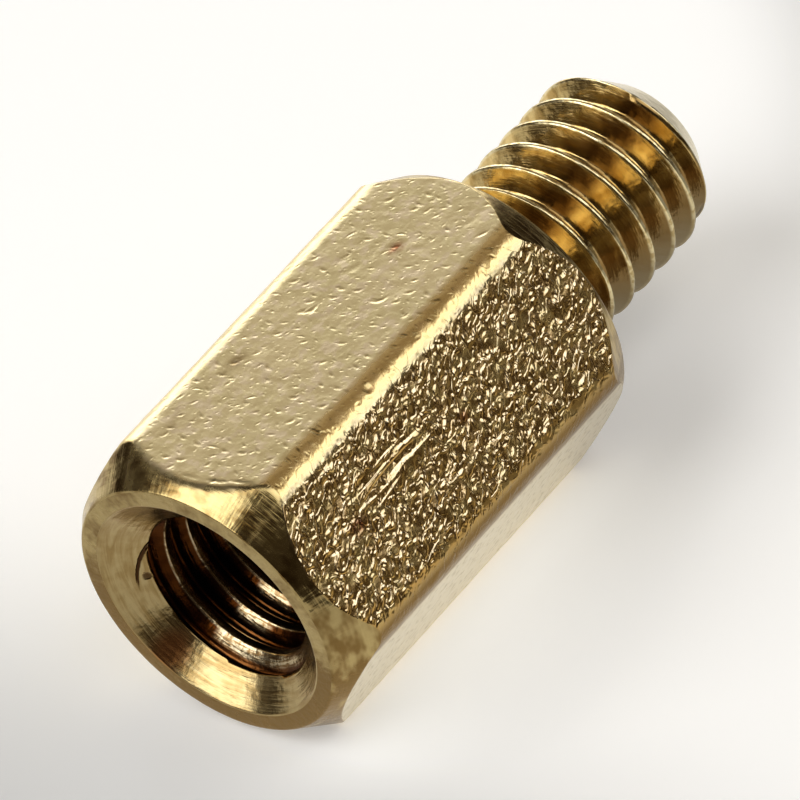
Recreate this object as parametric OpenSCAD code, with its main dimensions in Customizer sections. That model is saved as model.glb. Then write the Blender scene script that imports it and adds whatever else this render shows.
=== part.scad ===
// Male-female hex standoff, M3 x 0.5, turned in one piece from hexagon brass bar.
// Millimetres. The part lies on one flat: +Z is up, +X runs along its axis towards the stud.
// The origin is the centre of the shoulder, the plane that seats on a board.
// Threads are shown as plain cylinders: the bore at its minor diameter, the stud at its major diameter.

/* [Hexagon bar] */
// Width of the bar across its flats
across_flats = 4.5; // [4.2:0.05:6]
// Radius of the rounded edges between the flats
edge_r = 0.47; // [0.1:0.01:0.6]
// Length of the hexagon body, from the tapped face to the shoulder
body_l = 6.75; // [6:0.25:20]

/* [Tapped end] */
// Diameter of the flat face left inside the chamfer of the six corners
face_d = 4.2; // [4:0.02:4.3]
// Angle of that chamfer from the axis, in degrees
face_chamfer = 34; // [25:1:60]
// Diameter of the countersink where it meets the face
sink_d = 3.67; // [3:0.01:3.9]
// Included angle of the countersink, in degrees
sink_angle = 100; // [80:5:120]
// Minor diameter of the internal thread
bore_d = 2.5; // [2.4:0.01:2.6]
// Depth of the full bore, measured from the face
bore_depth = 5.25; // [3:0.25:5.25]
// Included angle of the drill point at the bottom, in degrees
drill_angle = 118; // [90:1:140]

/* [Stud end] */
// Diameter at which the chamfer of the six corners ends on the shoulder
shoulder_d = 4.46; // [3.6:0.02:4.6]
// Angle of that chamfer from the axis, in degrees
shoulder_chamfer = 28; // [20:1:60]
// Major diameter of the external thread
stud_d = 2.88; // [2.7:0.01:3]
// Length of the stud, from the shoulder to its tip
stud_l = 3.7; // [2:0.1:12]
// Diameter of the flat tip inside its chamfer
tip_d = 1.93; // [1.4:0.01:2.4]
// Length of the chamfer at the tip
tip_l = 0.5; // [0.2:0.05:0.8]

/* [Hidden] */
$fn = 96;

apothem = across_flats / 2;
corner_r = apothem / cos(30);
edge_at = (apothem - edge_r) / cos(30);
chisel_d = 0.3;
reach = corner_r + 0.2;
sink_l = (sink_d - bore_d) / 2 / tan(sink_angle / 2);
drill_l = (bore_d - chisel_d) / 2 / tan(drill_angle / 2);
face_l = (reach - face_d / 2) / tan(face_chamfer);
shoulder_l = (reach - shoulder_d / 2) / tan(shoulder_chamfer);
half_flat = (apothem - edge_r) * tan(30);

// The bar's section: six flats, with each edge rounded by a circle that is tangent to both.
// A flat faces along the section's X axis, which becomes the top and the bottom of the part.
module bar_section() {
    polygon([for (k = [0 : 5]) for (s = [-1, 1])
        [apothem * cos(60 * k) - s * half_flat * sin(60 * k),
         apothem * sin(60 * k) + s * half_flat * cos(60 * k)]]);
    for (k = [0 : 5])
        translate([edge_at * cos(60 * k + 30), edge_at * sin(60 * k + 30)])
            circle(r = edge_r);
}

// The turned outline that takes off the six corners at both ends of the bar.
module corner_turning() {
    rotate_extrude()
        polygon([[0, 0], [face_d / 2, 0], [reach, face_l],
                 [reach, body_l - shoulder_l], [shoulder_d / 2, body_l], [0, body_l]]);
}

// The body stands on its tapped face here, with the axis up.
module body() {
    intersection() {
        linear_extrude(height = body_l) bar_section();
        corner_turning();
    }
}

// The stud grows out of the shoulder. It starts inside the body, so the two are one solid.
module stud() {
    rotate_extrude()
        polygon([[0, body_l - 0.5], [stud_d / 2, body_l - 0.5],
                 [stud_d / 2, body_l + stud_l - tip_l], [tip_d / 2, body_l + stud_l],
                 [0, body_l + stud_l]]);
}

// Countersink, tapped bore and drill point, cut from the tapped face.
// The drill point ends in the small flat that the drill's chisel edge leaves.
module bore() {
    over = 0.1;
    rotate_extrude()
        polygon([[0, -over], [sink_d / 2 + over * tan(sink_angle / 2), -over],
                 [bore_d / 2, sink_l], [bore_d / 2, bore_depth],
                 [chisel_d / 2, bore_depth + drill_l], [0, bore_depth + drill_l]]);
}

module standoff() {
    color([0.72, 0.62, 0.38])
    translate([-body_l, 0, 0]) rotate([0, 90, 0])
        difference() {
            union() {
                body();
                stud();
            }
            bore();
        }
}

standoff();
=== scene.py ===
"""Looks for the brass male-female hex standoff: one closed mesh with real threads, procedural brass, soft light."""
import math

import bpy
import numpy as np
from mathutils import Matrix, Vector


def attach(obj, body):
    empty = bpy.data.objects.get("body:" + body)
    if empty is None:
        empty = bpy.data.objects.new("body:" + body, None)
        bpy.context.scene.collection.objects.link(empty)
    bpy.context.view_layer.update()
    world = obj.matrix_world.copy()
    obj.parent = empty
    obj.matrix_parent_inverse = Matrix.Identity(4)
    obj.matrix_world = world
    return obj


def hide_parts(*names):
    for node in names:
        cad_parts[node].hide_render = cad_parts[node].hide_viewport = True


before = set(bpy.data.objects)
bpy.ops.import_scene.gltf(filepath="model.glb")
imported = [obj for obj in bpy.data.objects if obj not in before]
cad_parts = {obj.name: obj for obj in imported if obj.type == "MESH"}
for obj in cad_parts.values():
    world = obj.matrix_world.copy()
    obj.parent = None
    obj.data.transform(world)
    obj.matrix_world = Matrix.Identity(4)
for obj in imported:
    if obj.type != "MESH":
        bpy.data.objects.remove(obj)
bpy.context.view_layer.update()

# --------------------------------------------------------------------------------------------------------------
# Sizes in millimetres, in the row frame: X along the axis, 0 at the shoulder, + towards the stud's tip.
# --------------------------------------------------------------------------------------------------------------
MM = 0.001
APOTHEM = 2.25
EDGE_R = 0.47
BODY_L = 6.75
FACE_R = 2.10
FACE_CH = math.radians(34)
SINK_R = 1.835
SINK_HALF = math.radians(50)
BORE_R = 1.25
BORE_MAJOR = 1.515
BORE_DEPTH = 5.25
DRILL_HALF = math.radians(59)
CHISEL_R = 0.15
SHOULDER_R = 2.23
SHOULDER_CH = math.radians(28)
STUD_R = 1.44
STUD_L = 3.7
TIP_R = 0.965
TIP_L = 0.5
PITCH = 0.5
ROOT_R = 1.128
STUD_PHASE = 2.835 - PITCH * 150 / 360      # crest centre at polar angle 0
BORE_PHASE = 0.328                          # the internal thread's crest centre at polar angle 0
X0 = -BODY_L


# --------------------------------------------------------------------------------------------------------------
# Mesh building: profile columns round the axis, joined by labels, so that every crest is a line of edges.
# --------------------------------------------------------------------------------------------------------------
class Shell:
    """Collects vertices, faces, the map's corners and a few numbers for each vertex."""

    def __init__(self):
        self.co, self.tag, self.faces, self.uvs, self.sect = [], [], [], [], []

    def vert(self, x, r, phi, skin=0.0, s=0.0, k=0.0):
        self.co.append((x, r * math.cos(phi), r * math.sin(phi)))
        self.tag.append((skin, s, k))
        return len(self.co) - 1

    def face(self, ids, uv, sect):
        keep = [i for i in range(len(ids)) if ids[i] != ids[i - 1]]
        if len(keep) < 3:
            return
        self.faces.append([ids[i] for i in keep])
        self.uvs.append([uv[i] for i in keep])
        self.sect.append(sect)


shell = Shell()


def join(a, b, ua, ub, sect, shift=None):
    """Joins two columns, each a list of (vertex, label, v) in order, into faces. Equal labels are joined level."""
    lb = {}
    for j, q in enumerate(b):
        lb[q[1]] = j
    la = {}
    for i, q in enumerate(a):
        la[q[1] if shift is None else shift(q[1])] = i
    key = [q[1] if shift is None else shift(q[1]) for q in a]
    i = j = 0
    while i < len(a) - 1 or j < len(b) - 1:
        if i == len(a) - 1:
            step = "b"
        elif j == len(b) - 1:
            step = "a"
        else:
            ka, kb = key[i + 1], b[j + 1][1]
            if ka == kb:
                step = "ab"
            else:
                a_ahead = lb.get(ka, -1) > j
                b_ahead = la.get(kb, -1) > i
                if a_ahead and not b_ahead:
                    step = "b"
                elif b_ahead and not a_ahead:
                    step = "a"
                else:
                    step = "a" if a[i + 1][2] < b[j + 1][2] else "b"
        if step == "ab":
            shell.face(
                [a[i][0], a[i + 1][0], b[j + 1][0], b[j][0]],
                [(ua, a[i][2]), (ua, a[i + 1][2]), (ub, b[j + 1][2]), (ub, b[j][2])],
                sect,
            )
            i += 1
            j += 1
        elif step == "a":
            shell.face([a[i][0], a[i + 1][0], b[j][0]], [(ua, a[i][2]), (ua, a[i + 1][2]), (ub, b[j][2])], sect)
            i += 1
        else:
            shell.face([a[i][0], b[j + 1][0], b[j][0]], [(ua, a[i][2]), (ub, b[j + 1][2]), (ub, b[j][2])], sect)
            j += 1


def ring_join(inner, outer, v0, v1, sect, flip=False):
    """Joins two closed rings of (vertex, angle) whose counts differ. Angles rise from the same start."""
    n, m = len(inner), len(outer)
    ia = [q[1] for q in inner] + [inner[0][1] + 2 * math.pi]
    oa = [q[1] for q in outer] + [outer[0][1] + 2 * math.pi]
    i = j = 0
    while i < n or j < m:
        if j == m or (i < n and ia[i + 1] <= oa[j + 1]):
            ids = [inner[i % n][0], outer[j % m][0], inner[(i + 1) % n][0]]
            uv = [(ia[i], v0), (oa[j], v1), (ia[i + 1], v0)]
            i += 1
        else:
            ids = [inner[i % n][0], outer[j % m][0], outer[(j + 1) % m][0]]
            uv = [(ia[i], v0), (oa[j], v1), (oa[j + 1], v1)]
            j += 1
        if flip:
            ids, uv = ids[::-1], uv[::-1]
        shell.face(ids, uv, sect)


def corner(p, q, r, radius, n):
    """Points of a small arc that rounds the corner q of the path p, q, r."""
    p, q, r = np.array(p), np.array(q), np.array(r)
    u, w = (p - q) / np.linalg.norm(p - q), (r - q) / np.linalg.norm(r - q)
    turn = math.pi - math.acos(float(np.clip(u @ w, -1, 1)))
    t = min(radius * math.tan(turn / 2), 0.45 * np.linalg.norm(p - q), 0.45 * np.linalg.norm(r - q))
    a, c = q + u * t, q + w * t
    out = []
    for i in range(n):
        f = i / (n - 1)
        out.append((1 - f) ** 2 * a + 2 * f * (1 - f) * q + f * f * c)
    return out


SEAM = -math.pi / 2     # all columns start under the part


def hex_columns():
    """(polar angle, radius, distance round the bar, face number) of each column of the bar's section."""
    half = (APOTHEM - EDGE_R) * math.tan(math.pi / 6)
    centre = (APOTHEM - EDGE_R) / math.cos(math.pi / 6)
    flats = [(0, 18, "half"), (1, 40, ""), (2, 40, ""), (3, 56, ""), (4, 56, ""), (5, 44, ""), (6, 18, "end")]
    edges = [9, 9, 12, 12, 12, 12]
    out, s = [], 0.0
    for k, n, part in flats:
        normal = SEAM + k * math.pi / 3
        lo, hi = (0.0, half) if part == "half" else (-half, 0.0) if part == "end" else (-half, half)
        for i in range(n):
            t = lo + (hi - lo) * i / n
            out.append((normal + math.atan2(t, APOTHEM), math.hypot(t, APOTHEM), s + t - lo, k))
        s += hi - lo
        if part != "end":
            ne = edges[k]
            for i in range(ne):
                a = normal + math.pi / 3 * i / ne
                e = normal + math.pi / 6
                y = centre * math.cos(e) + EDGE_R * math.cos(a)
                z = centre * math.sin(e) + EDGE_R * math.sin(a)
                phi = math.atan2(y * math.sin(-e) + z * math.cos(-e), y * math.cos(-e) - z * math.sin(-e)) + e
                out.append((phi, math.hypot(y, z), s + EDGE_R * math.pi / 3 * i / ne, k + 0.5))
            s += EDGE_R * math.pi / 3
    return out, s


HEX, AROUND = hex_columns()
N_SIDE = 138


def hex_profile(R, soft=0.070):
    """Path of one column from the land's outer edge to the shoulder's edge, as rows of (x, r, skin). `soft` is the
    radius between the front cone and the flat."""
    p0, p3 = (0.0, FACE_R), (BODY_L, SHOULDER_R)
    p1 = ((R - FACE_R) / math.tan(FACE_CH), R)
    p2 = (BODY_L - (R - SHOULDER_R) / math.tan(SHOULDER_CH), R)
    rows = [(x, r, 0.0) for x, r in corner((0, FACE_R - 0.1), p0, p1, 0.045, 4)]
    c1 = corner(p0, p1, p2, soft, 5)
    c2 = corner(p1, p2, p3, 0.055, 5)
    last = corner(p2, p3, (BODY_L, SHOULDER_R - 0.1), 0.030, 4)
    a, b = np.array(rows[-1][:2]), c1[0]
    for i in range(1, 9):
        rows.append((*(a + (b - a) * i / 9), 0.0))
    rows += [(x, r, w) for (x, r), w in zip(c1, (0.0, 0.1, 0.4, 0.75, 1.0))]
    a, b = c1[-1], c2[0]
    for i in range(1, N_SIDE):
        f = i * 0.0035 if i <= 18 else 0.063 + (i - 18) / (N_SIDE - 18) * 0.937
        rows.append((*(a + (b - a) * f), 1.0))
    rows += [(x, r, w) for (x, r), w in zip(c2, (1.0, 0.75, 0.4, 0.1, 0.0))]
    a, b = c2[-1], last[0]
    for i in range(1, 6):
        rows.append((*(a + (b - a) * i / 6), 0.0))
    rows += [(x, r, 0.0) for x, r in last]
    return rows


def build_bar():
    cols = []
    for phi, R, s, k in HEX:
        col, v = [], 0.0
        rows = hex_profile(R, 0.33 if k == 3 else 0.20 if k in (2.5, 3.5) else 0.070)
        for i, (x, r, skin) in enumerate(rows):
            if i:
                v += math.hypot(x - rows[i - 1][0], r - rows[i - 1][1])
            col.append((shell.vert(X0 + x, r, phi, skin, s, k), i, v))
        cols.append(col)
    n = len(cols)
    for j in range(n):
        b = cols[(j + 1) % n]
        ub = HEX[j + 1][2] if j + 1 < n else AROUND
        join(b, cols[j], ub, HEX[j][2], "bar")
    return cols


def envelope(a, b, keep):
    """Highest (keep=max) or lowest (keep=min) of two paths, each a sorted list of (x, r, label). Crossings get their own labels."""
    ax, ar = np.array([p[0] for p in a]), np.array([p[1] for p in a])
    bx, br = np.array([p[0] for p in b]), np.array([p[1] for p in b])
    out = []
    for p in a:
        other = float(np.interp(p[0], bx, br))
        if (p[1] >= other) if keep is max else (p[1] <= other):
            out.append(p)
    for p in b:
        other = float(np.interp(p[0], ax, ar))
        if (p[1] > other) if keep is max else (p[1] < other):
            out.append(p)
    xs = np.unique(np.concatenate([ax, bx]))
    d = np.interp(xs, ax, ar) - np.interp(xs, bx, br)
    for i in range(len(xs) - 1):
        if d[i] * d[i + 1] < 0:
            x = xs[i] + (xs[i + 1] - xs[i]) * d[i] / (d[i] - d[i + 1])
            g = int(np.searchsorted(ax, x)) - 1
            out.append((x, float(np.interp(x, bx, br)), ("x", a[max(g, 0)][2], d[i] > 0)))
    out.sort(key=lambda p: p[0])
    return out


# One pitch of the external thread: (distance from the crest's centre, radius). The crest is flat with worn corners
# and the root is a wide round hollow.
_flank = math.tan(math.radians(30))
STUD_TURN = []
for _x, _r in (
    (-0.018, STUD_R - 0.002), (0.0, STUD_R - 0.005), (0.018, STUD_R - 0.002), (0.030, STUD_R - 0.012), (0.042, STUD_R - 0.034),
):
    STUD_TURN.append((_x, _r))
_root_h = 0.072
_fx0, _fr0 = 0.042, STUD_R - 0.034
_fx1 = 0.25 - _root_h * math.cos(math.radians(30))
_fr1 = _fr0 - (_fx1 - _fx0) / _flank
for _i in (1, 2, 3):
    STUD_TURN.append((_fx0 + (_fx1 - _fx0) * _i / 3, _fr0 + (_fr1 - _fr0) * _i / 3))
_cr = _fr1 + _root_h * math.sin(math.radians(30))
for _a in (-36, -18, 0, 18, 36):
    STUD_TURN.append((0.25 + _root_h * math.sin(math.radians(_a)) , _cr - _root_h * math.cos(math.radians(_a))))
for _i in (3, 2, 1):
    STUD_TURN.append((0.5 - (_fx0 + (_fx1 - _fx0) * _i / 3), _fr0 + (_fr1 - _fr0) * _i / 3))
STUD_TURN += [(0.5 - 0.042, STUD_R - 0.034), (0.5 - 0.030, STUD_R - 0.012)]

# One pitch of the internal thread, from the middle of its crest, which points at the axis.
BORE_TURN = [(-0.050, BORE_R + 0.006), (0.0, BORE_R + 0.004), (0.050, BORE_R + 0.006), (0.068, BORE_R + 0.018),
             (0.088, BORE_R + 0.040), (0.138, BORE_R + 0.100), (0.195, BORE_R + 0.200), (0.228, BORE_R + 0.240),
             (0.272, BORE_R + 0.240), (0.305, BORE_R + 0.200), (0.362, BORE_R + 0.100), (0.412, BORE_R + 0.040),
             (0.432, BORE_R + 0.018)]
BORE_COARSE = {0, 2, 4, 6, 8, 10, 12}


def helix(turn, phase, phi, lo, hi, thin=None):
    """The thread's path along X at polar angle phi, as (x, r, label), for x from lo to hi."""
    start = phase + PITCH * phi / (2 * math.pi)
    out = []
    k = math.floor((lo - start) / PITCH) - 1
    while start + k * PITCH < hi + PITCH:
        for i, (dx, r) in enumerate(turn):
            x = start + k * PITCH + dx
            if lo < x < hi and (thin is None or x < thin[0] or i in thin[1]):
                out.append((x, r, (k, i)))
        k += 1
    return out


def with_ends(path, turn, phase, phi, lo, hi):
    """Cuts a thread's path at two planes, with a point on each."""
    whole = helix(turn, phase, phi, lo - PITCH, hi + PITCH)
    xs, rs = [p[0] for p in whole], [p[1] for p in whole]
    inner = [p for p in path if lo + 0.006 < p[0] < hi - 0.006]
    return [(lo, float(np.interp(lo, xs, rs)), "lo")] + inner + [(hi, float(np.interp(hi, xs, rs)), "hi")]


def turned(label):
    """The same thread point one turn on, seen from the other side of the seam."""
    if isinstance(label, tuple) and label[0] == "x":
        return ("x", turned(label[1]), label[2])
    if isinstance(label, tuple) and len(label) == 2 and isinstance(label[0], int):
        return (label[0] + 1, label[1])
    return label


def back(label):
    if isinstance(label, tuple) and label[0] == "x":
        return ("x", back(label[1]), label[2])
    if isinstance(label, tuple) and len(label) == 2 and isinstance(label[0], int):
        return (label[0] - 1, label[1])
    return label


N_STUD = 172
N_BORE = 136


def build_stud():
    """Thread from the shoulder to the tip's edge. Returns the columns."""
    cols = []
    tip0 = STUD_L - TIP_L
    for j in range(N_STUD):
        phi = SEAM + 2 * math.pi * j / N_STUD
        path = with_ends(helix(STUD_TURN, STUD_PHASE, phi, 0.0, STUD_L), STUD_TURN, STUD_PHASE, phi, 0.0, STUD_L)
        path = [(x, STUD_R - (STUD_R - r) * min(1.0, max(0.0, (3.47 - x) / 0.16)), label) for x, r, label in path]
        slope = (STUD_R + 0.01 - TIP_R) / TIP_L
        edge = corner((tip0, STUD_R + 0.01), (STUD_L, TIP_R), (STUD_L, TIP_R - 0.1), 0.035, 4)
        cone = [(-1.0, 3.0, "far"), (tip0 - 0.3, STUD_R + 0.01 + 0.3 * slope, "c")]
        for i in range(9):
            x = tip0 + (edge[0][0] - tip0) * i / 9
            cone.append((x, STUD_R + 0.01 - slope * (x - tip0), f"c{i}"))
        cone.append((float(edge[0][0]), float(edge[0][1]), "e0"))
        cone.append((float(edge[1][0]), float(edge[1][1]), "e1"))
        cone.append((float(edge[2][0]), float(edge[2][1]), "e2"))
        rows = envelope(path[:-1] + [(STUD_L, 3.0, "hi")], cone + [(STUD_L + 1e-6, TIP_R - 0.004, "z")], min)
        rows = [p for p in rows if p[2] not in ("hi", "z", "far")]
        rows.append((STUD_L, TIP_R - 0.022, "end"))
        clean = [rows[0]]
        for p in rows[1:]:
            if p[0] - clean[-1][0] > 0.0035 or p[2] == "end":
                clean.append(p)
        col, v = [], 0.0
        for i, (x, r, label) in enumerate(clean):
            if i:
                v += math.hypot(x - clean[i - 1][0], r - clean[i - 1][1])
            col.append((shell.vert(x, r, phi), label, v))
        cols.append(col)
    for j in range(N_STUD):
        last = j == N_STUD - 1
        a, b = cols[(j + 1) % N_STUD], cols[j]
        join(a, b, 2 * math.pi * (j + 1) / N_STUD, 2 * math.pi * j / N_STUD, "stud", back if last else None)
    return cols


def build_bore():
    """Countersink, thread and drill point, from the face inwards. Returns the columns."""
    cols = []
    hi = BORE_DEPTH
    for j in range(N_BORE):
        phi = SEAM + 2 * math.pi * j / N_BORE
        path = with_ends(
            helix(BORE_TURN, BORE_PHASE, phi, 0.0, hi, (2.7, BORE_COARSE)), BORE_TURN, BORE_PHASE, phi, 0.0, hi
        )
        out = []
        for x, r, label in path:            # the tap's lead: the thread fades before the bottom
            fade = min(1.0, max(0.0, (4.75 - x) / 0.9))
            out.append((x, BORE_R + (r - BORE_R) * fade if r > BORE_R else r, label))
        path = [(0.0, 1.0, "lo")] + out[1:]
        rim = corner((0, SINK_R + 0.1), (0.0, SINK_R), (0.3, SINK_R - 0.3 * math.tan(SINK_HALF)), 0.040, 4)
        cone = [(float(x), float(r), f"r{i}") for i, (x, r) in enumerate(rim)]
        x1 = (SINK_R - BORE_MAJOR) / math.tan(SINK_HALF)
        a, b = rim[-1], np.array((x1, BORE_MAJOR))
        for i in range(1, 7):
            p = a + (b - a) * i / 7
            cone.append((float(p[0]), float(p[1]), f"c{i}"))
        for i in range(0, 8):
            x = x1 + 0.035 * i
            cone.append((x, SINK_R - x * math.tan(SINK_HALF), f"d{i}"))
        cone.append((hi + 1, 0.2, "far"))
        rows = envelope(path, cone, max)
        rows = [p for p in rows if p[2] != "far"]
        clean = [rows[0]]
        for p in rows[1:]:
            if p[0] - clean[-1][0] > 0.0035 or p[2] in ("hi", "r1", "r2", "r3"):
                clean.append(p)
        clean[-1] = (hi, BORE_R, "hi")
        for i in (1, 2, 3):
            f = i / 3
            clean.append((hi + (BORE_R - CHISEL_R) / math.tan(DRILL_HALF) * f, BORE_R + (CHISEL_R - BORE_R) * f, f"p{i}"))
        col, v = [], 0.0
        for i, (x, r, label) in enumerate(clean):
            if i:
                v += math.hypot(x - clean[i - 1][0], r - clean[i - 1][1])
            col.append((shell.vert(X0 + x, r, phi), label, v))
        cols.append(col)
    for j in range(N_BORE):
        last = j == N_BORE - 1
        a, b = cols[(j + 1) % N_BORE], cols[j]
        join(b, a, 2 * math.pi * j / N_BORE, 2 * math.pi * (j + 1) / N_BORE, "bore", turned if last else None)
    return cols


def disc(ring, x, outwards, sect):
    """Closes a ring with a flat end, through two smaller rings and a centre point."""
    n = len(ring)
    rings = [ring]
    r0 = math.hypot(*shell.co[ring[0]][1:])
    for share in (0.8, 0.55, 0.3, 0.12):
        rings.append([shell.vert(x, r0 * share, SEAM + 2 * math.pi * j / n) for j in range(n)])
    shares = [1.0, 0.8, 0.55, 0.3, 0.12]
    for q in range(len(rings) - 1):
        a, b = rings[q], rings[q + 1]
        for j in range(n):
            k = (j + 1) % n
            ids = [a[j], a[k], b[k], b[j]]
            t0, t1 = 2 * math.pi * j / n, 2 * math.pi * (j + 1) / n
            uv = [(t0, r0 * shares[q]), (t1, r0 * shares[q]), (t1, r0 * shares[q + 1]), (t0, r0 * shares[q + 1])]
            shell.face(ids if outwards else ids[::-1], uv if outwards else uv[::-1], sect)
    c = shell.vert(x, 0.0, 0.0)
    for j in range(n):
        ids = [rings[-1][j], rings[-1][(j + 1) % n], c]
        t0, t1 = 2 * math.pi * j / n, 2 * math.pi * (j + 1) / n
        uv = [(t0, r0 * 0.12), (t1, r0 * 0.12), ((t0 + t1) / 2, 0.0)]
        shell.face(ids if outwards else ids[::-1], uv if outwards else uv[::-1], sect)


def annulus(inner, outer, x, shares, r_in, r_out, sect, flip):
    """Flat ring between a ring of the bore or stud and a ring of the bar, with rings between them on the outer one's angles."""
    rings = [outer]
    for f in shares:
        r = r_in + (r_out - r_in) * f
        rings.append([(shell.vert(x, r, a), a) for _, a in outer])
    n = len(outer)
    for q in range(len(rings) - 1):
        a, b = rings[q], rings[q + 1]
        ra = r_out if q == 0 else r_in + (r_out - r_in) * shares[q - 1]
        rb = r_in + (r_out - r_in) * shares[q]
        for j in range(n):
            k = (j + 1) % n
            t0 = a[j][1]
            t1 = a[k][1] + (2 * math.pi if k == 0 else 0)
            ids = [a[j][0], a[k][0], b[k][0], b[j][0]]
            uv = [(t0, ra), (t1, ra), (t1, rb), (t0, rb)]
            shell.face(ids[::-1] if flip else ids, uv[::-1] if flip else uv, sect)
    ring_join(inner, rings[-1], r_in, r_in + (r_out - r_in) * shares[-1], sect, flip=flip)


bar = build_bar()
stud = build_stud()
bore = build_bore()

hex_angles = [q[0] for q in HEX]
land_out = [(c[0][0], a) for c, a in zip(bar, hex_angles)]
land_in = [(c[0][0], SEAM + 2 * math.pi * j / N_BORE) for j, c in enumerate(bore)]
annulus(land_in, land_out, X0, (0.62, 0.30), SINK_R + 0.012, FACE_R, "land", flip=True)
shoulder_out = [(c[-1][0], a) for c, a in zip(bar, hex_angles)]
shoulder_in = [(c[0][0], SEAM + 2 * math.pi * j / N_STUD) for j, c in enumerate(stud)]
annulus(shoulder_in, shoulder_out, 0.0, (0.72, 0.44, 0.18), STUD_R, SHOULDER_R, "shoulder", flip=False)
disc([c[-1][0] for c in stud], STUD_L, True, "tip")
disc([c[-1][0] for c in bore], X0 + BORE_DEPTH + (BORE_R - CHISEL_R) / math.tan(DRILL_HALF), False, "well")

# --------------------------------------------------------------------------------------------------------------
# Small relief that is too large for bump: the wavy drawn skin, dents along the edges, a worn thread.
# --------------------------------------------------------------------------------------------------------------
def hashed(i, j, k, seed):
    """A repeatable number from 0 to 1 for each lattice corner."""
    h = (i * 73856093) ^ (j * 19349663) ^ (k * 83492791) ^ (seed * 2654435761)
    h = (h ^ (h >> 13)) * 1274126177 & 0xFFFFFFFF
    h = (h ^ (h >> 15)) * 2246822519 & 0xFFFFFFFF
    return ((h ^ (h >> 13)) & 0xFFFFFF) / 0xFFFFFF


def waves(p, size, seed):
    """Smooth noise from -1 to 1 whose cells are `size` mm wide."""
    q = p / size
    base = np.floor(q).astype(np.int64)
    f = q - base
    f = f * f * f * (f * (f * 6 - 15) + 10)
    total = 0
    for a in (0, 1):
        for b in (0, 1):
            for c in (0, 1):
                w = (f[:, 0] if a else 1 - f[:, 0]) * (f[:, 1] if b else 1 - f[:, 1]) * (f[:, 2] if c else 1 - f[:, 2])
                total = total + w * hashed(base[:, 0] + a, base[:, 1] + b, base[:, 2] + c, seed)
    return 2 * total - 1


def step(a, b, x):
    t = np.clip((x - a) / (b - a), 0, 1)
    return t * t * (3 - 2 * t)


co = np.array(shell.co)
tag = np.array(shell.tag)
skin, around, flat = tag[:, 0], tag[:, 1], tag[:, 2]
along = co[:, 0] - X0
radius = np.hypot(co[:, 1], co[:, 2])
n_bar = max(max(f) for f, q in zip(shell.faces, shell.sect) if q == "bar") + 1
is_bar = np.arange(len(co)) < n_bar
is_stud = np.zeros(len(co), bool)
is_stud[[i for c in stud for i, _, _ in c]] = True
is_bore = np.zeros(len(co), bool)
is_bore[[i for c in bore for i, _, _ in c]] = True

# Middle of each rounded edge, as a distance round the bar.
edge_s = {k: float(np.mean([h[2] for h in HEX if h[3] == k])) for k in (0.5, 1.5, 2.5, 3.5, 4.5, 5.5)}
near_edge = np.zeros(len(co))
for k, s in edge_s.items():
    near_edge = np.maximum(near_edge, np.exp(-(((around - s) / 0.20) ** 2)))
near_edge *= is_bar

# How grainy the drawn skin is: fine on the top, coarse on the near side.
grain_at = [(0.0, 0.45), (1.25, 0.4), (2.6, 0.5), (3.9, 0.45), (5.2, 0.4), (edge_s[2.5], 0.12), (6.8, 0.07), (8.6, 0.07),
            (8.9, 0.10), (9.03, 0.22), (9.10, 0.35), (9.17, 0.8), (9.28, 1.0), (11.2, 1.0), (11.35, 0.8), (edge_s[4.5], 0.40), (11.75, 0.25), (13.8, 0.25),
            (edge_s[5.5], 0.4), (AROUND, 0.45)]
grain = np.interp(around, [g[0] for g in grain_at], [g[1] for g in grain_at]) * is_bar

out_dir = np.stack([np.zeros(len(co)), co[:, 1], co[:, 2]], 1) / np.maximum(radius, 1e-6)[:, None]
lift = np.zeros(len(co))
weight = skin * is_bar
lift += weight * (0.0018 * waves(co, 0.30, 3) + 0.0014 * waves(co, 0.17, 5))
# the pitted side: short ridges that lean across the bar
lean = np.stack([0.5 * (0.56 * along - 0.82 * around), 0.82 * along + 0.56 * around, np.zeros(len(co))], 1)
lift += weight * grain * (0.0025 * waves(lean, 0.125, 7) + 0.0030 * waves(lean * (1, 1, 0), 0.33, 11))
lift += weight * near_edge * (0.0040 * waves(co * (1, 1.6, 1.6), 0.22, 13) + 0.0024 * waves(co, 0.11, 17))
chamfer = is_bar & (skin < 0.5)
turn_at = np.stack([np.cos(np.arctan2(co[:, 2], co[:, 1])), np.sin(np.arctan2(co[:, 2], co[:, 1])), along * 0.1], 1)
lift += np.where(chamfer, 0.0012 * waves(turn_at * 2.2, 0.09, 19) + 0.0020 * waves(turn_at * 2.2, 0.30, 41), 0)


def dent(x, s, length, width, angle, depth):
    """A pressed groove (or with a negative depth, a raised lip) on the bar's skin."""
    c, d = math.cos(math.radians(angle)), math.sin(math.radians(angle))
    s = s * AROUND / 15.343
    u = ((along - x) * c + (around - s) * d) / length
    v = (-(along - x) * d + (around - s) * c) / width
    return -depth * np.exp(-(u**4) - v * v) * is_bar


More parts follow.
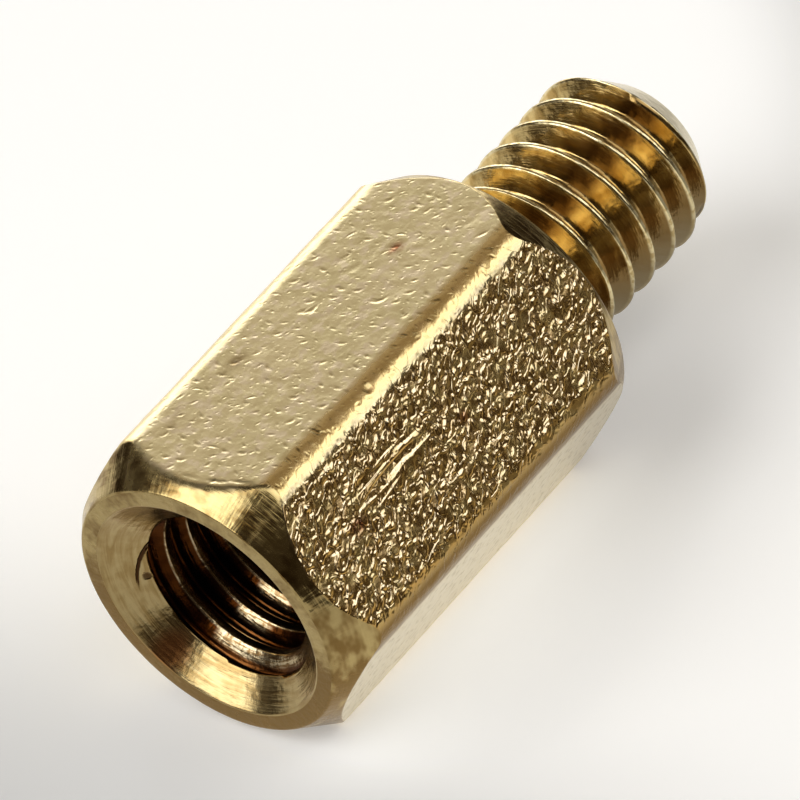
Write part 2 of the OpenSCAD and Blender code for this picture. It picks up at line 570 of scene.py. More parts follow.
for mark in (
    (0.415, 8.15, 0.13, 0.030, 74, 0.012), (0.365, 8.13, 0.12, 0.028, 74, -0.007), (0.545, 8.50, 0.15, 0.030, 76, 0.013),
    (0.495, 8.47, 0.13, 0.028, 76, -0.007), (0.34, 7.75, 0.16, 0.030, 84, 0.008), (2.82, 8.955, 0.045, 0.050, 0, 0.018), (2.90, 8.90, 0.05, 0.030, 20, -0.008),
    (5.24, 7.58, 0.055, 0.045, 60, 0.012), (4.62, 7.32, 0.16, 0.035, 28, 0.007), (4.80, 7.12, 0.12, 0.032, 40, 0.006),
    (6.05, 8.30, 0.16, 0.032, 15, 0.006), (2.43, 6.91, 0.06, 0.05, 30, 0.010), (5.5, 9.02, 0.10, 0.045, 0, 0.007),
    (1.35, 8.97, 0.09, 0.045, 5, 0.007), (3.9, 8.93, 0.07, 0.04, -10, 0.008), (4.4, 6.42, 0.12, 0.05, 0, 0.008),
    (2.9, 6.38, 0.14, 0.05, 5, 0.009), (1.6, 6.42, 0.10, 0.05, 0, 0.007), (5.6, 6.36, 0.10, 0.05, 0, 0.007),
    (2.05, 9.90, 0.40, 0.030, 3, 0.0040), (2.30, 9.98, 0.30, 0.024, 2, 0.0030), (1.95, 10.08, 0.26, 0.024, 4, 0.0030),
    (2.25, 9.84, 0.16, 0.022, 6, 0.0025), (3.6, 11.50, 0.20, 0.05, 0, 0.008), (1.8, 11.52, 0.14, 0.05, 0, 0.007),
):
    lift += dent(*mark)

# A worn thread: chatter along the crests, and a torn inner edge where the thread runs out on the countersink.
swirl = np.stack([radius * np.cos(np.arctan2(co[:, 2], co[:, 1])), radius * np.sin(np.arctan2(co[:, 2], co[:, 1])), co[:, 0] * 0.3], 1)
crest = step(STUD_R - 0.05, STUD_R - 0.004, radius) * is_stud * step(0.02, 0.2, co[:, 0])
lift += crest * (0.0014 * waves(swirl, 0.075, 23) + 0.0028 * waves(swirl, 0.22, 29))
lip = is_bore * step(BORE_R + 0.09, BORE_R + 0.02, radius) * step(1.3, 0.2, along)
lift -= lip * (0.004 * waves(swirl, 0.12, 31) + 0.005 * waves(swirl, 0.28, 37))

co = co + out_dir * lift[:, None]

# --------------------------------------------------------------------------------------------------------------
# The mesh, its map and its numbers for the materials
# --------------------------------------------------------------------------------------------------------------
MAP = 16.8          # side of the map in millimetres
PLACES = {
    "bar": lambda u, v: (0.05 + u * 14.6 / AROUND, 0.05 + v),
    "stud": lambda u, v: (0.05 + u / (2 * math.pi) * 8.1, 7.65 + v),
    "bore": lambda u, v: (12.75 + u / (2 * math.pi) * 3.9, 7.55 + v * 0.95),
    "land": lambda u, v: (10.45 + v * math.cos(u), 9.75 + v * math.sin(u)),
    "shoulder": lambda u, v: (10.38 + v * math.cos(u), 14.3 + v * math.sin(u)),
    "tip": lambda u, v: (15.75 + v * math.cos(u), 1.1 + v * math.sin(u)),
    "well": lambda u, v: (15.75 + v * math.cos(u), 2.4 + v * math.sin(u)),
}
MATERIAL = {"bar": 0, "land": 1, "shoulder": 1, "tip": 1, "stud": 2, "bore": 3, "well": 3}

tris = sum(len(f) - 2 for f in shell.faces)
mesh = bpy.data.meshes.new("standoff_body")
mesh.from_pydata([tuple(p) for p in co * MM], [], shell.faces)
mesh.update()
mesh.polygons.foreach_set("use_smooth", np.ones(len(mesh.polygons), bool))
mesh.polygons.foreach_set("material_index", np.array([MATERIAL[q] for q in shell.sect], np.int32))
uv_layer = mesh.uv_layers.new(name="OFBake")
flat_uv = [c for corners, q in zip(shell.uvs, shell.sect) for c in (PLACES[q](u, v) for u, v in corners)]
flat_uv = np.array(flat_uv) / MAP
print("triangles", tris, "map", flat_uv.min(0).round(3), flat_uv.max(0).round(3))
uv_layer.data.foreach_set("uv", flat_uv.astype(np.float32).ravel())


def attribute(name, values):
    a = mesh.attributes.new(name, "FLOAT_VECTOR", "POINT")
    a.data.foreach_set("vector", np.asarray(values, np.float32).ravel())


attribute("bar", np.stack([along, around, skin], 1))
attribute("finish", np.stack([grain, near_edge, is_bar * 1.0], 1))

body = bpy.data.objects.new("standoff_body", mesh)
bpy.context.scene.collection.objects.link(body)


# --------------------------------------------------------------------------------------------------------------
# Materials
# --------------------------------------------------------------------------------------------------------------
class Nodes:
    """Short forms for building a node tree."""

    def __init__(self, tree):
        self.tree = tree

    def put(self, socket, value):
        if isinstance(value, bpy.types.NodeSocket):
            self.tree.links.new(value, socket)
        elif value is not None:
            socket.default_value = value

    def new(self, kind, inputs=(), **props):
        n = self.tree.nodes.new(kind)
        for k, v in props.items():
            setattr(n, k, v)
        for k, v in dict(inputs).items():
            self.put(n.inputs[k], v)
        return n

    def math(self, op, a, b=None, c=None, clamp=False):
        n = self.tree.nodes.new("ShaderNodeMath")
        n.operation, n.use_clamp = op, clamp
        for i, v in enumerate((a, b, c)):
            if v is not None:
                self.put(n.inputs[i], v)
        return n.outputs[0]

    def add(self, *values):
        out = values[0]
        for v in values[1:]:
            out = self.math("ADD", out, v)
        return out

    def mul(self, a, b):
        return self.math("MULTIPLY", a, b)

    def ramp(self, x, a, b, lo=0.0, hi=1.0):
        n = self.new("ShaderNodeMapRange", {"Value": x, "From Min": a, "From Max": b, "To Min": lo, "To Max": hi})
        n.interpolation_type = "SMOOTHSTEP"
        return n.outputs[0]

    def mix(self, f, a, b):
        n = self.tree.nodes.new("ShaderNodeMix")
        n.data_type = "RGBA"
        self.put(n.inputs[0], f)
        self.put(n.inputs[6], a)
        self.put(n.inputs[7], b)
        return n.outputs[2]

    def noise(self, vec, scale, detail=2.0, rough=0.5, distort=0.0, dims="2D"):
        n = self.new("ShaderNodeTexNoise", {"Vector": vec, "Scale": scale, "Detail": detail, "Roughness": rough, "Distortion": distort})
        n.noise_dimensions = dims
        return n.outputs["Fac"]

    def vmath(self, op, a, b=None, out=0, scale=None):
        n = self.tree.nodes.new("ShaderNodeVectorMath")
        n.operation = op
        self.put(n.inputs[0], a)
        if b is not None:
            self.put(n.inputs[1], b)
        if scale is not None:
            self.put(n.inputs["Scale"], scale)
        return n.outputs[out]

    def split(self, v):
        return self.new("ShaderNodeSeparateXYZ", {"Vector": v}).outputs

    def join(self, x, y, z=0.0):
        return self.new("ShaderNodeCombineXYZ", {"X": x, "Y": y, "Z": z}).outputs[0]

    def attr(self, name):
        return self.new("ShaderNodeAttribute", attribute_type="GEOMETRY", attribute_name=name).outputs["Vector"]

    def spot(self, vec, x, y, rx, ry, soft=1.0):
        """1 at a place on the bar's skin, falling to 0 at the ellipse rx, ry."""
        d = self.vmath("LENGTH", self.vmath("DIVIDE", self.vmath("SUBTRACT", vec, (x, y, 0)), (rx, ry, 1)), out="Value")
        return self.ramp(d, 1.0, 1.0 - soft)

    def dashes(self, vec, cell, length, width, share, seed, lean=None):
        """Short dashes, one at most in each cell: 0 away from them and 1 at their middle. They are turned at random,
        or keep within a range of angles round `lean`, given as (angle, range) in radians."""
        vor = self.new("ShaderNodeTexVoronoi", {"Vector": self.vmath("ADD", vec, (seed, seed * 1.7, 0)), "Scale": 1 / cell, "Randomness": 1.0})
        vor.voronoi_dimensions = "2D"
        here = self.vmath("ADD", vec, (seed, seed * 1.7, 0))
        off = self.vmath("SUBTRACT", here, vor.outputs["Position"])
        rnd = self.new("ShaderNodeSeparateColor", {"Color": vor.outputs["Color"]}).outputs
        mid, spread = lean or (math.pi / 2, math.pi)
        angle = self.math("MULTIPLY_ADD", rnd[0], spread, mid - spread / 2)
        turn = self.new("ShaderNodeVectorRotate", {"Vector": off, "Angle": angle}, rotation_type="Z_AXIS")
        o = self.split(turn.outputs[0])
        grow = self.math("MULTIPLY_ADD", rnd[1], 0.8, 0.5)
        bend = self.math("MULTIPLY_ADD", self.mul(o[0], o[0]), self.math("MULTIPLY_ADD", rnd[1], 6.0, -3.0), o[1])
        u = self.math("DIVIDE", o[0], self.mul(grow, length))
        v = self.math("DIVIDE", bend, self.mul(grow, width))
        d = self.math("SQRT", self.add(self.mul(u, u), self.mul(v, v)))
        here = self.math("LESS_THAN", rnd[2], share)
        deep = self.math("MULTIPLY_ADD", rnd[1], 0.6, 0.4)
        return self.mul(self.mul(self.ramp(d, 1.0, 0.0), here), deep)


def brass_material(name):
    m = bpy.data.materials.new(name)
    m.use_nodes = True
    n = Nodes(m.node_tree)
    p = m.node_tree.nodes["Principled BSDF"]
    p.inputs["Metallic"].default_value = 1.0
    return m, n, p


PALE = (0.85, 0.735, 0.455, 1)
OLIVE = (0.81, 0.705, 0.42, 1)
PINK = (0.84, 0.715, 0.49, 1)
GOLD = (0.80, 0.61, 0.28, 1)
DULL = (0.56, 0.435, 0.205, 1)
UMBER = (0.29, 0.190, 0.072, 1)
DEEP = (0.72, 0.48, 0.17, 1)
BROWN = (0.17, 0.092, 0.032, 1)
RUST = (0.33, 0.12, 0.045, 1)


def drawn_brass():
    """The bar: the drawn skin of the flats, and the turned ends where the skin's share is 0."""
    m, n, p = brass_material("drawn_brass")
    x, s, skin = n.split(n.attr("bar"))
    at = n.join(x, s)
    grain, edge, _ = n.split(n.attr("finish"))
    cut = n.math("SUBTRACT", 1.0, skin)
    # the pitted side: short raised worms and pressed ticks that lean across the bar
    lean = n.join(
        n.add(n.mul(x, 0.36), n.mul(s, -0.53)),
        n.add(n.mul(x, 0.82), n.mul(s, 0.56)),
    )
    ridge = n.noise(lean, 7.0, 1.0, 0.5, 0.9)
    worm = n.ramp(ridge, 0.42, 0.60)
    bits_a = n.dashes(at, 0.205, 0.096, 0.053, 0.92, 31.3, (0.75, 2.2))
    bits_b = n.dashes(at, 0.150, 0.062, 0.042, 0.80, 47.9, (0.75, 2.6))
    swell = n.noise(at, 3.2, 1.0, 0.5)
    score = n.noise(n.join(n.mul(x, 0.9), n.mul(s, 8.5)), 1.0, 0.0, 0.5, 0.3)
    scored = n.spot(at, 2.35, 9.95, 1.05, 0.36, 0.6)
    free = n.math("MULTIPLY_ADD", scored, -0.65, 1.0)
    grit = n.add(
        n.mul(free, n.add(n.mul(worm, 0.0066), n.mul(bits_a, 0.0110), n.mul(bits_b, 0.0084))),
        n.mul(n.math("SUBTRACT", swell, 0.5), 0.012),
        n.mul(n.mul(n.ramp(score, 0.38, 0.62), scored), 0.0120),
    )
    # the smoother flats: a faint swell, and pressed dashes of three sizes
    peel = n.noise(at, 8.0, 2.0, 0.55)
    calm = n.add(n.mul(n.math("SUBTRACT", peel, 0.5), 0.0030), n.mul(n.math("SUBTRACT", swell, 0.5), 0.0040))
    marks_a = n.dashes(at, 0.235, 0.088, 0.042, 0.85, 3.1, (-1.15, 1.9))
    marks_b = n.dashes(at, 0.125, 0.044, 0.028, 0.65, 11.7, (-1.15, 2.4))
    marks_c = n.dashes(at, 0.75, 0.150, 0.046, 0.45, 23.9, (-0.9, 1.4))
    press = n.add(n.mul(marks_a, -0.0052), n.mul(marks_b, -0.0024), n.mul(marks_c, -0.0080))
    skin_h = n.add(n.mul(grit, grain), calm, press)
    # turned ends: rings and radial chatter
    tex = n.new("ShaderNodeTexCoord").outputs["Object"]
    ox, oy, oz = n.split(tex)
    turn = n.math("ARCTAN2", oy, oz)         # from the top, so that the seam lies underneath
    ring = n.noise(n.join(n.mul(x, 60.0), n.math("MULTIPLY_ADD", turn, -1.5, 1.5 * math.pi / 2)), 1.0, 1.0, 0.5)
    chat = n.noise(n.join(n.math("MULTIPLY_ADD", turn, -26.0, 26.0 * math.pi / 2), n.mul(x, 2.0)), 1.0, 2.0, 0.6)
    blot = n.noise(n.join(n.math("MULTIPLY_ADD", turn, -5.0, 5.0 * math.pi / 2), n.mul(x, 5.0)), 1.0, 2.0, 0.6)
    turned_h = n.add(
        n.mul(n.math("SUBTRACT", ring, 0.5), 0.0012),
        n.mul(n.math("SUBTRACT", chat, 0.5), n.ramp(x, 3.0, 4.0, 0.0030, 0.0012)),
        n.mul(n.math("SUBTRACT", blot, 0.5), 0.0100),
    )
    h = n.add(n.mul(skin_h, skin), n.mul(turned_h, cut))
    facet = n.new("ShaderNodeBump", {"Height": h, "Distance": 0.001, "Strength": 1.0}).outputs[0]
    n.put(p.inputs["Normal"], facet)
    # colour
    cloud = n.noise(at, 1.3, 3.0, 0.55)
    blotch = n.noise(at, 4.2, 2.0, 0.6)
    col = n.mix(n.ramp(cloud, 0.35, 0.65), PALE, OLIVE)
    col = n.mix(n.ramp(blotch, 0.48, 0.68), col, PINK)
    col = n.mix(n.ramp(n.math("MAXIMUM", marks_a, marks_c), 0.35, 0.85, 0.0, 0.55), col, (0.50, 0.39, 0.20, 1))
    col = n.mix(n.ramp(edge, 0.15, 0.75, 0.0, 0.75), col, GOLD)
    # painted light and shade on the pits: the sides that face up are painted pale and the sides that face down dark
    # brown, with random blotches over them
    own = n.new("ShaderNodeVectorTransform", {"Vector": facet}, vector_type="NORMAL", convert_from="WORLD", convert_to="OBJECT").outputs[0]
    up = n.vmath("DOT_PRODUCT", own, (0.0, 0.5, math.sqrt(0.75)), out="Value")
    pitted = n.mix(n.ramp(up, -0.08, 0.24), (0.60, 0.375, 0.120, 1), (0.83, 0.695, 0.48, 1))
    pitted = n.mix(n.ramp(blotch, 0.45, 0.68, 0.0, 0.40), pitted, (0.70, 0.575, 0.27, 1))
    col = n.mix(n.ramp(grain, 0.35, 0.95), col, pitted)
    # stains
    for sx, ss, rx, ry, tint, share in (
        (5.25, 7.63, 0.24, 0.15, RUST, 0.95), (2.45, 6.92, 0.40, 0.13, UMBER, 0.7), (1.15, 6.85, 0.30, 0.16, UMBER, 0.4),
        (1.35, 10.15, 0.27, 0.17, (0.24, 0.075, 0.030, 1), 0.95), (3.75, 10.20, 0.16, 0.14, RUST, 0.8),
        (2.85, 8.96, 0.10, 0.05, RUST, 0.5), (5.35, 8.97, 0.12, 0.04, RUST, 0.4),
    ):
        col = n.mix(n.mul(n.mul(n.spot(at, sx, ss, rx, ry), n.ramp(peel, 0.30, 0.55, 0.35, 1.0)), share), col, tint)
    # the turned ends take random dull and dark blotches, and are painted darker towards the bottom as shade
    ends = n.mix(n.ramp(n.add(blot, n.ramp(oz, 0.0009, -0.0013, -0.06, 0.22)), 0.35, 0.70), DULL, UMBER)
    # painted shade: the lower rounded edge is painted dark brown, standing for the dark floor it reflects
    low_edge_shade = n.ramp(s, 11.22, 11.50)
    col = n.mix(n.mul(low_edge_shade, n.ramp(s, 12.00, 11.80)), col, (0.27, 0.172, 0.061, 1))
    # painted reflection: the flat underneath is painted a whitish brass, as if it reflected a bright floor
    col = n.mix(n.mul(n.ramp(s, 11.78, 11.98), n.ramp(s, 14.2, 13.6)), col, n.mix(n.ramp(peel, 0.50, 0.76), (0.80, 0.725, 0.56, 1), (0.62, 0.54, 0.375, 1)))
    col = n.mix(cut, col, ends)
    n.put(p.inputs["Base Color"], col)
    rough = n.add(n.mul(n.ramp(blotch, 0.3, 0.7), 0.05), n.ramp(edge, 0.35, 0.75, 0.28, 0.19))
    rough = n.math("MULTIPLY_ADD", n.ramp(grain, 0.3, 0.9), -0.10, rough)
    n.put(p.inputs["Roughness"], n.add(rough, n.mul(cut, -0.05)))
    return m


def turned_brass():
    """Faces cut in the lathe: fine rings round the axis, handled until they are dull and blotched, and painted darker
    towards the bottom as shade.
    """
    m, n, p = brass_material("turned_brass")
    tex = n.vmath("SCALE", n.new("ShaderNodeTexCoord").outputs["Object"], scale=1000.0)
    ox, oy, oz = n.split(tex)
    r = n.math("SQRT", n.add(n.mul(oy, oy), n.mul(oz, oz)))
    turn = n.math("SUBTRACT", math.pi / 2, n.math("ARCTAN2", oy, oz))
    ring = n.noise(n.join(n.mul(r, 28.0), n.mul(turn, 0.8)), 1.0, 2.0, 0.6)
    nick = n.noise(n.join(n.mul(turn, 16.0), n.mul(r, 7.0)), 1.0, 2.0, 0.6)
    h = n.add(
        n.mul(n.math("SUBTRACT", ring, 0.5), n.ramp(r, 1.40, 0.90, 0.0020, 0.0042)),
        n.mul(n.math("SUBTRACT", nick, 0.5), n.ramp(r, 0.50, 1.45, 0.0003, 0.0070)),
    )
    n.put(p.inputs["Normal"], n.new("ShaderNodeBump", {"Height": h, "Distance": 0.001, "Strength": 1.0}).outputs[0])
    cloud = n.noise(tex, 1.6, 2.0, 0.5, 0.0, "3D")
    # painted shade: the colour turns darker towards the bottom
    low = n.ramp(oz, 0.9, -1.3, -0.06, 0.30)
    n.put(p.inputs["Base Color"], n.mix(n.ramp(n.add(n.mul(cloud, 0.7), 0.15, n.mul(n.math("SUBTRACT", nick, 0.5), n.ramp(r, 0.6, 1.4, 0.0, 0.3)), low), 0.36, 0.66), DULL, UMBER))
    n.put(p.inputs["Roughness"], n.ramp(cloud, 0.3, 0.7, 0.24, 0.34))
    return m


def stud_brass():
    """The external thread: bright worn crests with specks, hollows painted a deeper gold as shade, fine marks along the
    helix.
    """
    m, n, p = brass_material("thread_brass")
    tex = n.vmath("SCALE", n.new("ShaderNodeTexCoord").outputs["Object"], scale=1000.0)
    ox, oy, oz = n.split(tex)
    r = n.math("SQRT", n.add(n.mul(oy, oy), n.mul(oz, oz)))
    turn = n.math("SUBTRACT", math.pi / 2, n.math("ARCTAN2", oy, oz))
    crest = n.ramp(r, STUD_R - 0.052, STUD_R - 0.014)
    along_cut = n.noise(n.join(n.mul(turn, 3.0), n.mul(ox, 30.0), n.mul(r, 30.0)), 1.0, 2.0, 0.6, 0.0, "3D")
    fleck = n.noise(n.join(n.mul(turn, 12.0), n.mul(ox, 9.0), n.mul(r, 9.0)), 1.0, 2.0, 0.55, 0.0, "3D")
    patch = n.noise(n.join(n.mul(turn, 4.0), n.mul(ox, 2.5), n.mul(r, 3.0)), 1.0, 2.0, 0.6, 0.0, "3D")
    h = n.add(
        n.mul(n.math("SUBTRACT", along_cut, 0.5), 0.0022),
        n.mul(n.mul(n.math("SUBTRACT", fleck, 0.5), n.math("MULTIPLY_ADD", crest, -0.0004, 0.0034)), 1.0),
        n.mul(n.math("SUBTRACT", patch, 0.5), 0.0120),
    )
    n.put(p.inputs["Normal"], n.new("ShaderNodeBump", {"Height": h, "Distance": 0.001, "Strength": 1.0}).outputs[0])
    # painted shade: the hollows are painted a deeper, darker gold than the crests, in random patches
    hollow = n.mix(n.ramp(patch, 0.40, 0.66), (0.75, 0.575, 0.270, 1), (0.49, 0.335, 0.125, 1))
    # painted shade in the hollows: a brown streak along the top, and the side that lies low, are painted dark brown
    shade_streak = n.ramp(n.math("ABSOLUTE", n.math("SUBTRACT", turn, 2.07)), 0.34, 0.08, 0.0, 0.80)
    hollow = n.mix(n.math("MAXIMUM", shade_streak, n.ramp(oz, 0.70, 0.10, 0.0, 0.85)), hollow, (0.27, 0.170, 0.066, 1))
    bevel = n.ramp(n.math("MULTIPLY_ADD", n.math("SUBTRACT", ox, STUD_L - TIP_L), (STUD_R + 0.01 - TIP_R) / TIP_L, r), STUD_R - 0.015, STUD_R + 0.004)
    top = n.mix(n.ramp(fleck, 0.46, 0.62), PALE, (0.62, 0.48, 0.24, 1))
    # painted shade: the low side of the whole thread is painted a dull grey-brown
    col = n.mix(n.ramp(oz, 0.1, -0.8, 0.0, 0.8), n.mix(crest, hollow, top), (0.31, 0.255, 0.155, 1))
    n.put(p.inputs["Base Color"], n.mix(n.mul(bevel, n.ramp(ox, 3.18, 3.26)), col, (0.70, 0.605, 0.385, 1)))
    n.put(p.inputs["Roughness"], n.add(n.ramp(along_cut, 0.3, 0.7, 0.15, 0.22), n.mul(crest, 0.04)))
    return m


def bore_brass():
    """The countersink, and the internal thread: pale worn crests over hollows painted dark as shade."""
    m, n, p = brass_material("bore_brass")
    tex = n.vmath("SCALE", n.new("ShaderNodeTexCoord").outputs["Object"], scale=1000.0)
    ox, oy, oz = n.split(tex)
    r = n.math("SQRT", n.add(n.mul(oy, oy), n.mul(oz, oz)))
    turn = n.math("ARCTAN2", oz, oy)
    depth = n.math("ADD", ox, BODY_L)
    inside = n.ramp(n.math("SUBTRACT", n.add(depth, n.mul(r, math.tan(math.pi / 2 - SINK_HALF))), SINK_R * math.tan(math.pi / 2 - SINK_HALF)), 0.015, 0.060)
    along_cut = n.noise(n.join(n.mul(turn, 3.0), n.mul(ox, 30.0), n.mul(r, 30.0)), 1.0, 2.0, 0.6, 0.0, "3D")
    fleck = n.noise(n.join(n.mul(turn, 20.0), n.mul(ox, 9.0), n.mul(r, 9.0)), 1.0, 2.0, 0.55, 0.0, "3D")
    swirl = n.noise(n.join(n.add(n.mul(turn, 1.6), n.mul(r, 2.5)), n.mul(r, 11.0)), 1.0, 3.0, 0.6, 0.4)
    wide = n.noise(n.join(n.mul(turn, 5.0), n.mul(r, 3.0), ox), 1.0, 2.0, 0.6, 0.0, "3D")
    # a crack that hooks down the countersink from the thread's first turn
    u = n.math("DIVIDE", n.math("SUBTRACT", r, 1.30), 0.23)
    line = n.math("MULTIPLY_ADD", u, -0.54, 0.29)
    bow = n.mul(n.mul(u, n.math("SUBTRACT", 1.0, u)), 0.16)
    gap = n.math("ABSOLUTE", n.mul(n.math("SUBTRACT", n.math("SUBTRACT", turn, line), bow), r))
    gap = n.add(gap, n.mul(n.math("SUBTRACT", fleck, 0.5), 0.060))
    crack = n.mul(n.ramp(gap, 0.095, 0.045), n.mul(n.ramp(u, -0.1, 0.1), n.ramp(u, 1.02, 0.85)))
    pit = n.vmath("LENGTH", n.join(n.mul(n.add(turn, 0.14), 1.38), n.math("SUBTRACT", r, 1.385)), out="Value")
    crack = n.mul(n.math("SUBTRACT", 1.0, inside), n.math("MAXIMUM", crack, n.mul(n.ramp(n.add(pit, n.mul(n.math("SUBTRACT", fleck, 0.5), 0.05)), 0.075, 0.035), 0.85)))
    h = n.add(
        n.mul(n.math("SUBTRACT", along_cut, 0.5), 0.0022),
        n.mul(n.math("SUBTRACT", fleck, 0.5), n.math("MULTIPLY_ADD", inside, 0.0020, 0.0022)),
        n.mul(n.math("SUBTRACT", swirl, 0.5), 0.0040),
        n.mul(n.math("SUBTRACT", wide, 0.5), 0.0095),
        n.mul(crack, -0.012),
    )
    n.put(p.inputs["Normal"], n.new("ShaderNodeBump", {"Height": h, "Distance": 0.001, "Strength": 1.0}).outputs[0])
    mouth = n.mix(n.ramp(n.add(n.mul(swirl, 0.6), n.mul(wide, 0.4)), 0.38, 0.62), (0.54, 0.425, 0.220, 1), (0.40, 0.285, 0.125, 1))
    brown = n.vmath("LENGTH", n.join(n.mul(n.add(turn, 0.87), 1.65), n.math("SUBTRACT", r, 1.66)), out="Value")
    mouth = n.mix(n.ramp(brown, 0.36, 0.10), mouth, (0.56, 0.28, 0.110, 1))
    # painted shade: the crack and a round pit are painted near black
    mouth = n.mix(crack, mouth, (0.08, 0.04, 0.016, 1))
    worn = n.mix(n.ramp(n.add(n.mul(along_cut, 0.6), n.mul(fleck, 0.4)), 0.45, 0.57), (0.60, 0.50, 0.33, 1), (0.27, 0.175, 0.080, 1))
    # painted shade: the crests are painted darker deeper in the bore
    worn = n.mix(n.ramp(depth, 1.2, 2.4), worn, (0.40, 0.28, 0.15, 1))
    # painted shade: the flanks and hollows of the thread are painted a near-black brown
    bore_shade = n.mix(n.ramp(wide, 0.40, 0.62), (0.17, 0.075, 0.025, 1), (0.10, 0.040, 0.012, 1))
    thread = n.mix(n.ramp(r, BORE_R + 0.190, BORE_R + 0.110), bore_shade, worn)
    # painted shade: the flanks are painted dark brown, all but a strip on one side
    unshaded_strip = n.mul(n.ramp(turn, -1.05, -1.16), n.math("MAXIMUM", n.ramp(turn, -1.58, -1.42), n.ramp(depth, 1.0, 0.7)))
    flank_shade = n.mul(n.math("SUBTRACT", 1.0, unshaded_strip), n.ramp(r, BORE_R + 0.012, BORE_R + 0.040))
    thread = n.mix(flank_shade, thread, n.mix(n.ramp(wide, 0.35, 0.65), (0.100, 0.036, 0.008, 1), (0.058, 0.019, 0.004, 1)))
    # painted shade: deeper still, the whole thread is painted near-black brown
    thread = n.mix(n.ramp(depth, 2.4, 3.8), thread, bore_shade)
    n.put(p.inputs["Base Color"], n.mix(inside, mouth, thread))
    n.put(p.inputs["Roughness"], n.ramp(along_cut, 0.3, 0.7, 0.18, 0.25))
    return m


for material in (drawn_brass(), turned_brass(), stud_brass(), bore_brass()):
    mesh.materials.append(material)
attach(body, "root")
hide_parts("standoff")

# --------------------------------------------------------------------------------------------------------------
# Floor, camera and light
# --------------------------------------------------------------------------------------------------------------
bpy.ops.mesh.primitive_plane_add(size=0.6, location=(0, 0, -APOTHEM * MM))
floor = bpy.context.object
floor.name = "floor"
fm = bpy.data.materials.new("floor")
fm.use_nodes = True
fn = Nodes(fm.node_tree)
fp = fm.node_tree.nodes["Principled BSDF"]
# The floor's colour is painted pale round the part and darker towards the front right and the left: painted falloff of
# light, as on a sheet lit from behind.
fx, fy, _ = fn.split(fn.vmath("SCALE", fn.new("ShaderNodeTexCoord").outputs["Object"], scale=1000.0))
away = fn.add(fn.mul(fx, 0.7265), fn.mul(fy, -0.687))
pale = fn.mul(fn.ramp(away, 4.2, 8.8, 0.97, 0.30), fn.ramp(fx, -11.0, -3.5, 0.54, 1.0))
# the floor glows faintly near the part, and a little more under the part's bar, so that the part has no black contact
# shadow: painted light, as the floor is no lamp
under = fn.vmath("LENGTH", fn.join(fn.mul(fn.add(fx, 3.6), 1 / 4.2), fn.mul(fn.add(fy, 0.8), 1 / 3.0)), out="Value")
glow_through = fn.ramp(under, 1.15, 0.35, 0.0, 0.18)
fn.put(fp.inputs["Base Color"], fn.new("ShaderNodeCombineColor", {"Red": pale, "Green": pale, "Blue": fn.mul(pale, 0.985)}).outputs[0])
fn.put(fp.inputs["Emission Strength"], fn.add(fn.ramp(away, 3.4, 7.5, 0.14, 0.02), glow_through))
fp.inputs["Emission Color"].default_value = (1, 1, 0.985, 1)
fp.inputs["Roughness"].default_value = 0.9
fp.inputs["Specular IOR Level"].default_value = 0.1
floor.data.materials.append(fm)

# Camera
cam_data = bpy.data.cameras.new("camera")
cam = bpy.data.objects.new("camera", cam_data)
bpy.context.scene.collection.objects.link(cam)
rv = Vector((0.09470856, 0.64806241, 0.70209148))
rot = Matrix.Rotation(rv.length, 3, rv.normalized())
dist = math.exp(3.50190477)
centre = Vector((0.75, 0.0, 0.0)) + rot.transposed() @ Vector((0.14978116, 0.16620175, dist))
turn = Matrix(((1, 0, 0), (0, 0.5, -math.sqrt(0.75)), (0, math.sqrt(0.75), 0.5)))
place = turn @ centre * 4.5 + Vector((-6.75, 0, 0))
axes = turn @ rot.transposed()
cam.matrix_world = Matrix.Translation(place * MM) @ axes.to_4x4()
cam_data.sensor_width = 36.0
cam_data.lens = math.exp(5.79391909) * dist / 800 * 36.0
cam_data.clip_start = 0.001
cam_data.clip_end = 10.0
bpy.context.scene.camera = cam

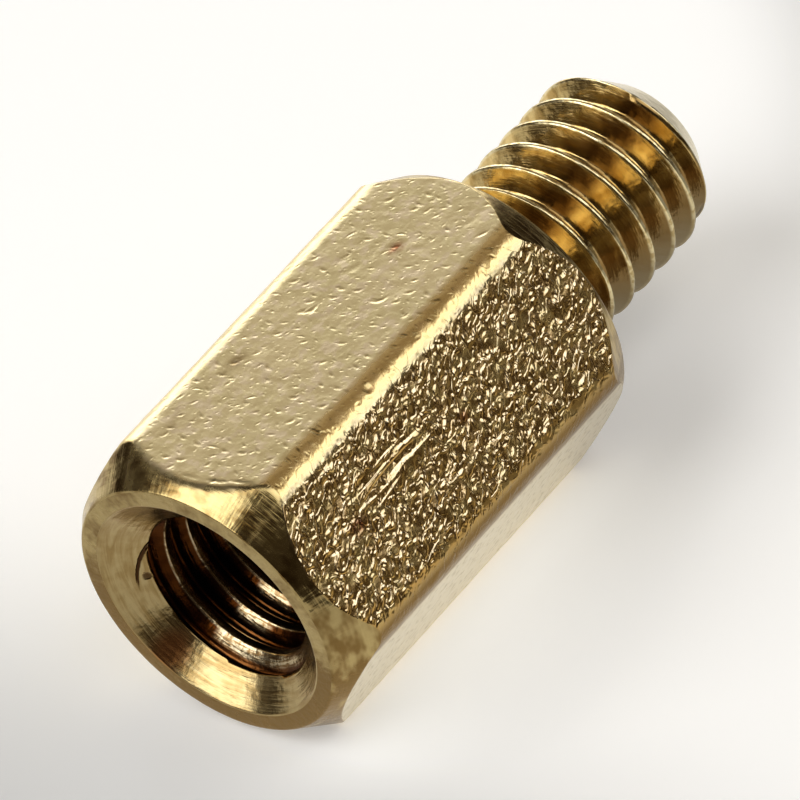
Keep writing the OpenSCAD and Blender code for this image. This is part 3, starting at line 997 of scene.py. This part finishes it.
# The light is a studio of large softboxes round a dim room, drawn on the world so that it is the same from every side.
# Each box: compass direction and height of its middle, half its width and height as tangents, softness, brightness.
BOXES = [
    (52, 12.6, 0.58, 0.30, 0.12, 0, 2.05),    # long low box behind the part
    (47, 44, 0.50, 0.30, 0.12, 0, 0.120),      # weak fill over it
    (-52, 31.5, 0.33, 0.29, 0.04, 0, 1.42),   # upright box at the right
    (153, 42, 0.43, 0.46, 0.05, 8, 2.40),     # upright box at the left rear
    (-100, 64, 0.45, 0.25, 0.15, 0, 1.35),    # box above the camera's right
    (5, 56, 0.80, 0.22, 0.12, 0, 0.23),       # warm ceiling, always the last
]
ROOM = 0.052
WARM = (1.0, 0.80, 0.58)
world = bpy.data.worlds.new("studio")
world.use_nodes = True
wn = Nodes(world.node_tree)
direction = wn.new("ShaderNodeTexCoord").outputs["Generated"]
total = None
for az, el, half_w, half_h, soft, roll, power in BOXES:
    a, e = math.radians(az), math.radians(el)
    c = (math.cos(e) * math.cos(a), math.cos(e) * math.sin(a), math.sin(e))
    u = Vector((-math.sin(a), math.cos(a), 0.0))
    v = Vector((-math.sin(e) * math.cos(a), -math.sin(e) * math.sin(a), math.cos(e)))
    k = math.radians(roll)
    u, v = tuple(u * math.cos(k) + v * math.sin(k)), tuple(v * math.cos(k) - u * math.sin(k))
    dc = wn.vmath("DOT_PRODUCT", direction, c, out="Value")
    du = wn.math("ABSOLUTE", wn.math("DIVIDE", wn.vmath("DOT_PRODUCT", direction, u, out="Value"), dc))
    dv = wn.math("ABSOLUTE", wn.math("DIVIDE", wn.vmath("DOT_PRODUCT", direction, v, out="Value"), dc))
    lit = wn.mul(wn.ramp(du, half_w + soft, half_w - soft), wn.ramp(dv, half_h + soft, half_h - soft))
    lit = wn.mul(lit, wn.math("GREATER_THAN", dc, 0.0))
    if (az, el) == BOXES[-1][:2]:
        warm = wn.math("MULTIPLY_ADD", lit, power, ROOM)
    else:
        total = wn.mul(lit, power) if total is None else wn.math("MULTIPLY_ADD", lit, power, total)
glow = [wn.math("MULTIPLY_ADD", warm, w, total) for w in WARM]
background = world.node_tree.nodes["Background"]
seen = wn.new("ShaderNodeLightPath").outputs["Is Camera Ray"]
tone = wn.new("ShaderNodeCombineColor", {"Red": glow[0], "Green": glow[1], "Blue": glow[2]}).outputs[0]
wn.put(background.inputs["Color"], wn.mix(seen, tone, (0.75, 0.75, 0.74, 1)))
bpy.context.scene.world = world
bpy.context.scene.view_settings.view_transform = "Standard"
bpy.context.scene.view_settings.look = "Medium High Contrast"
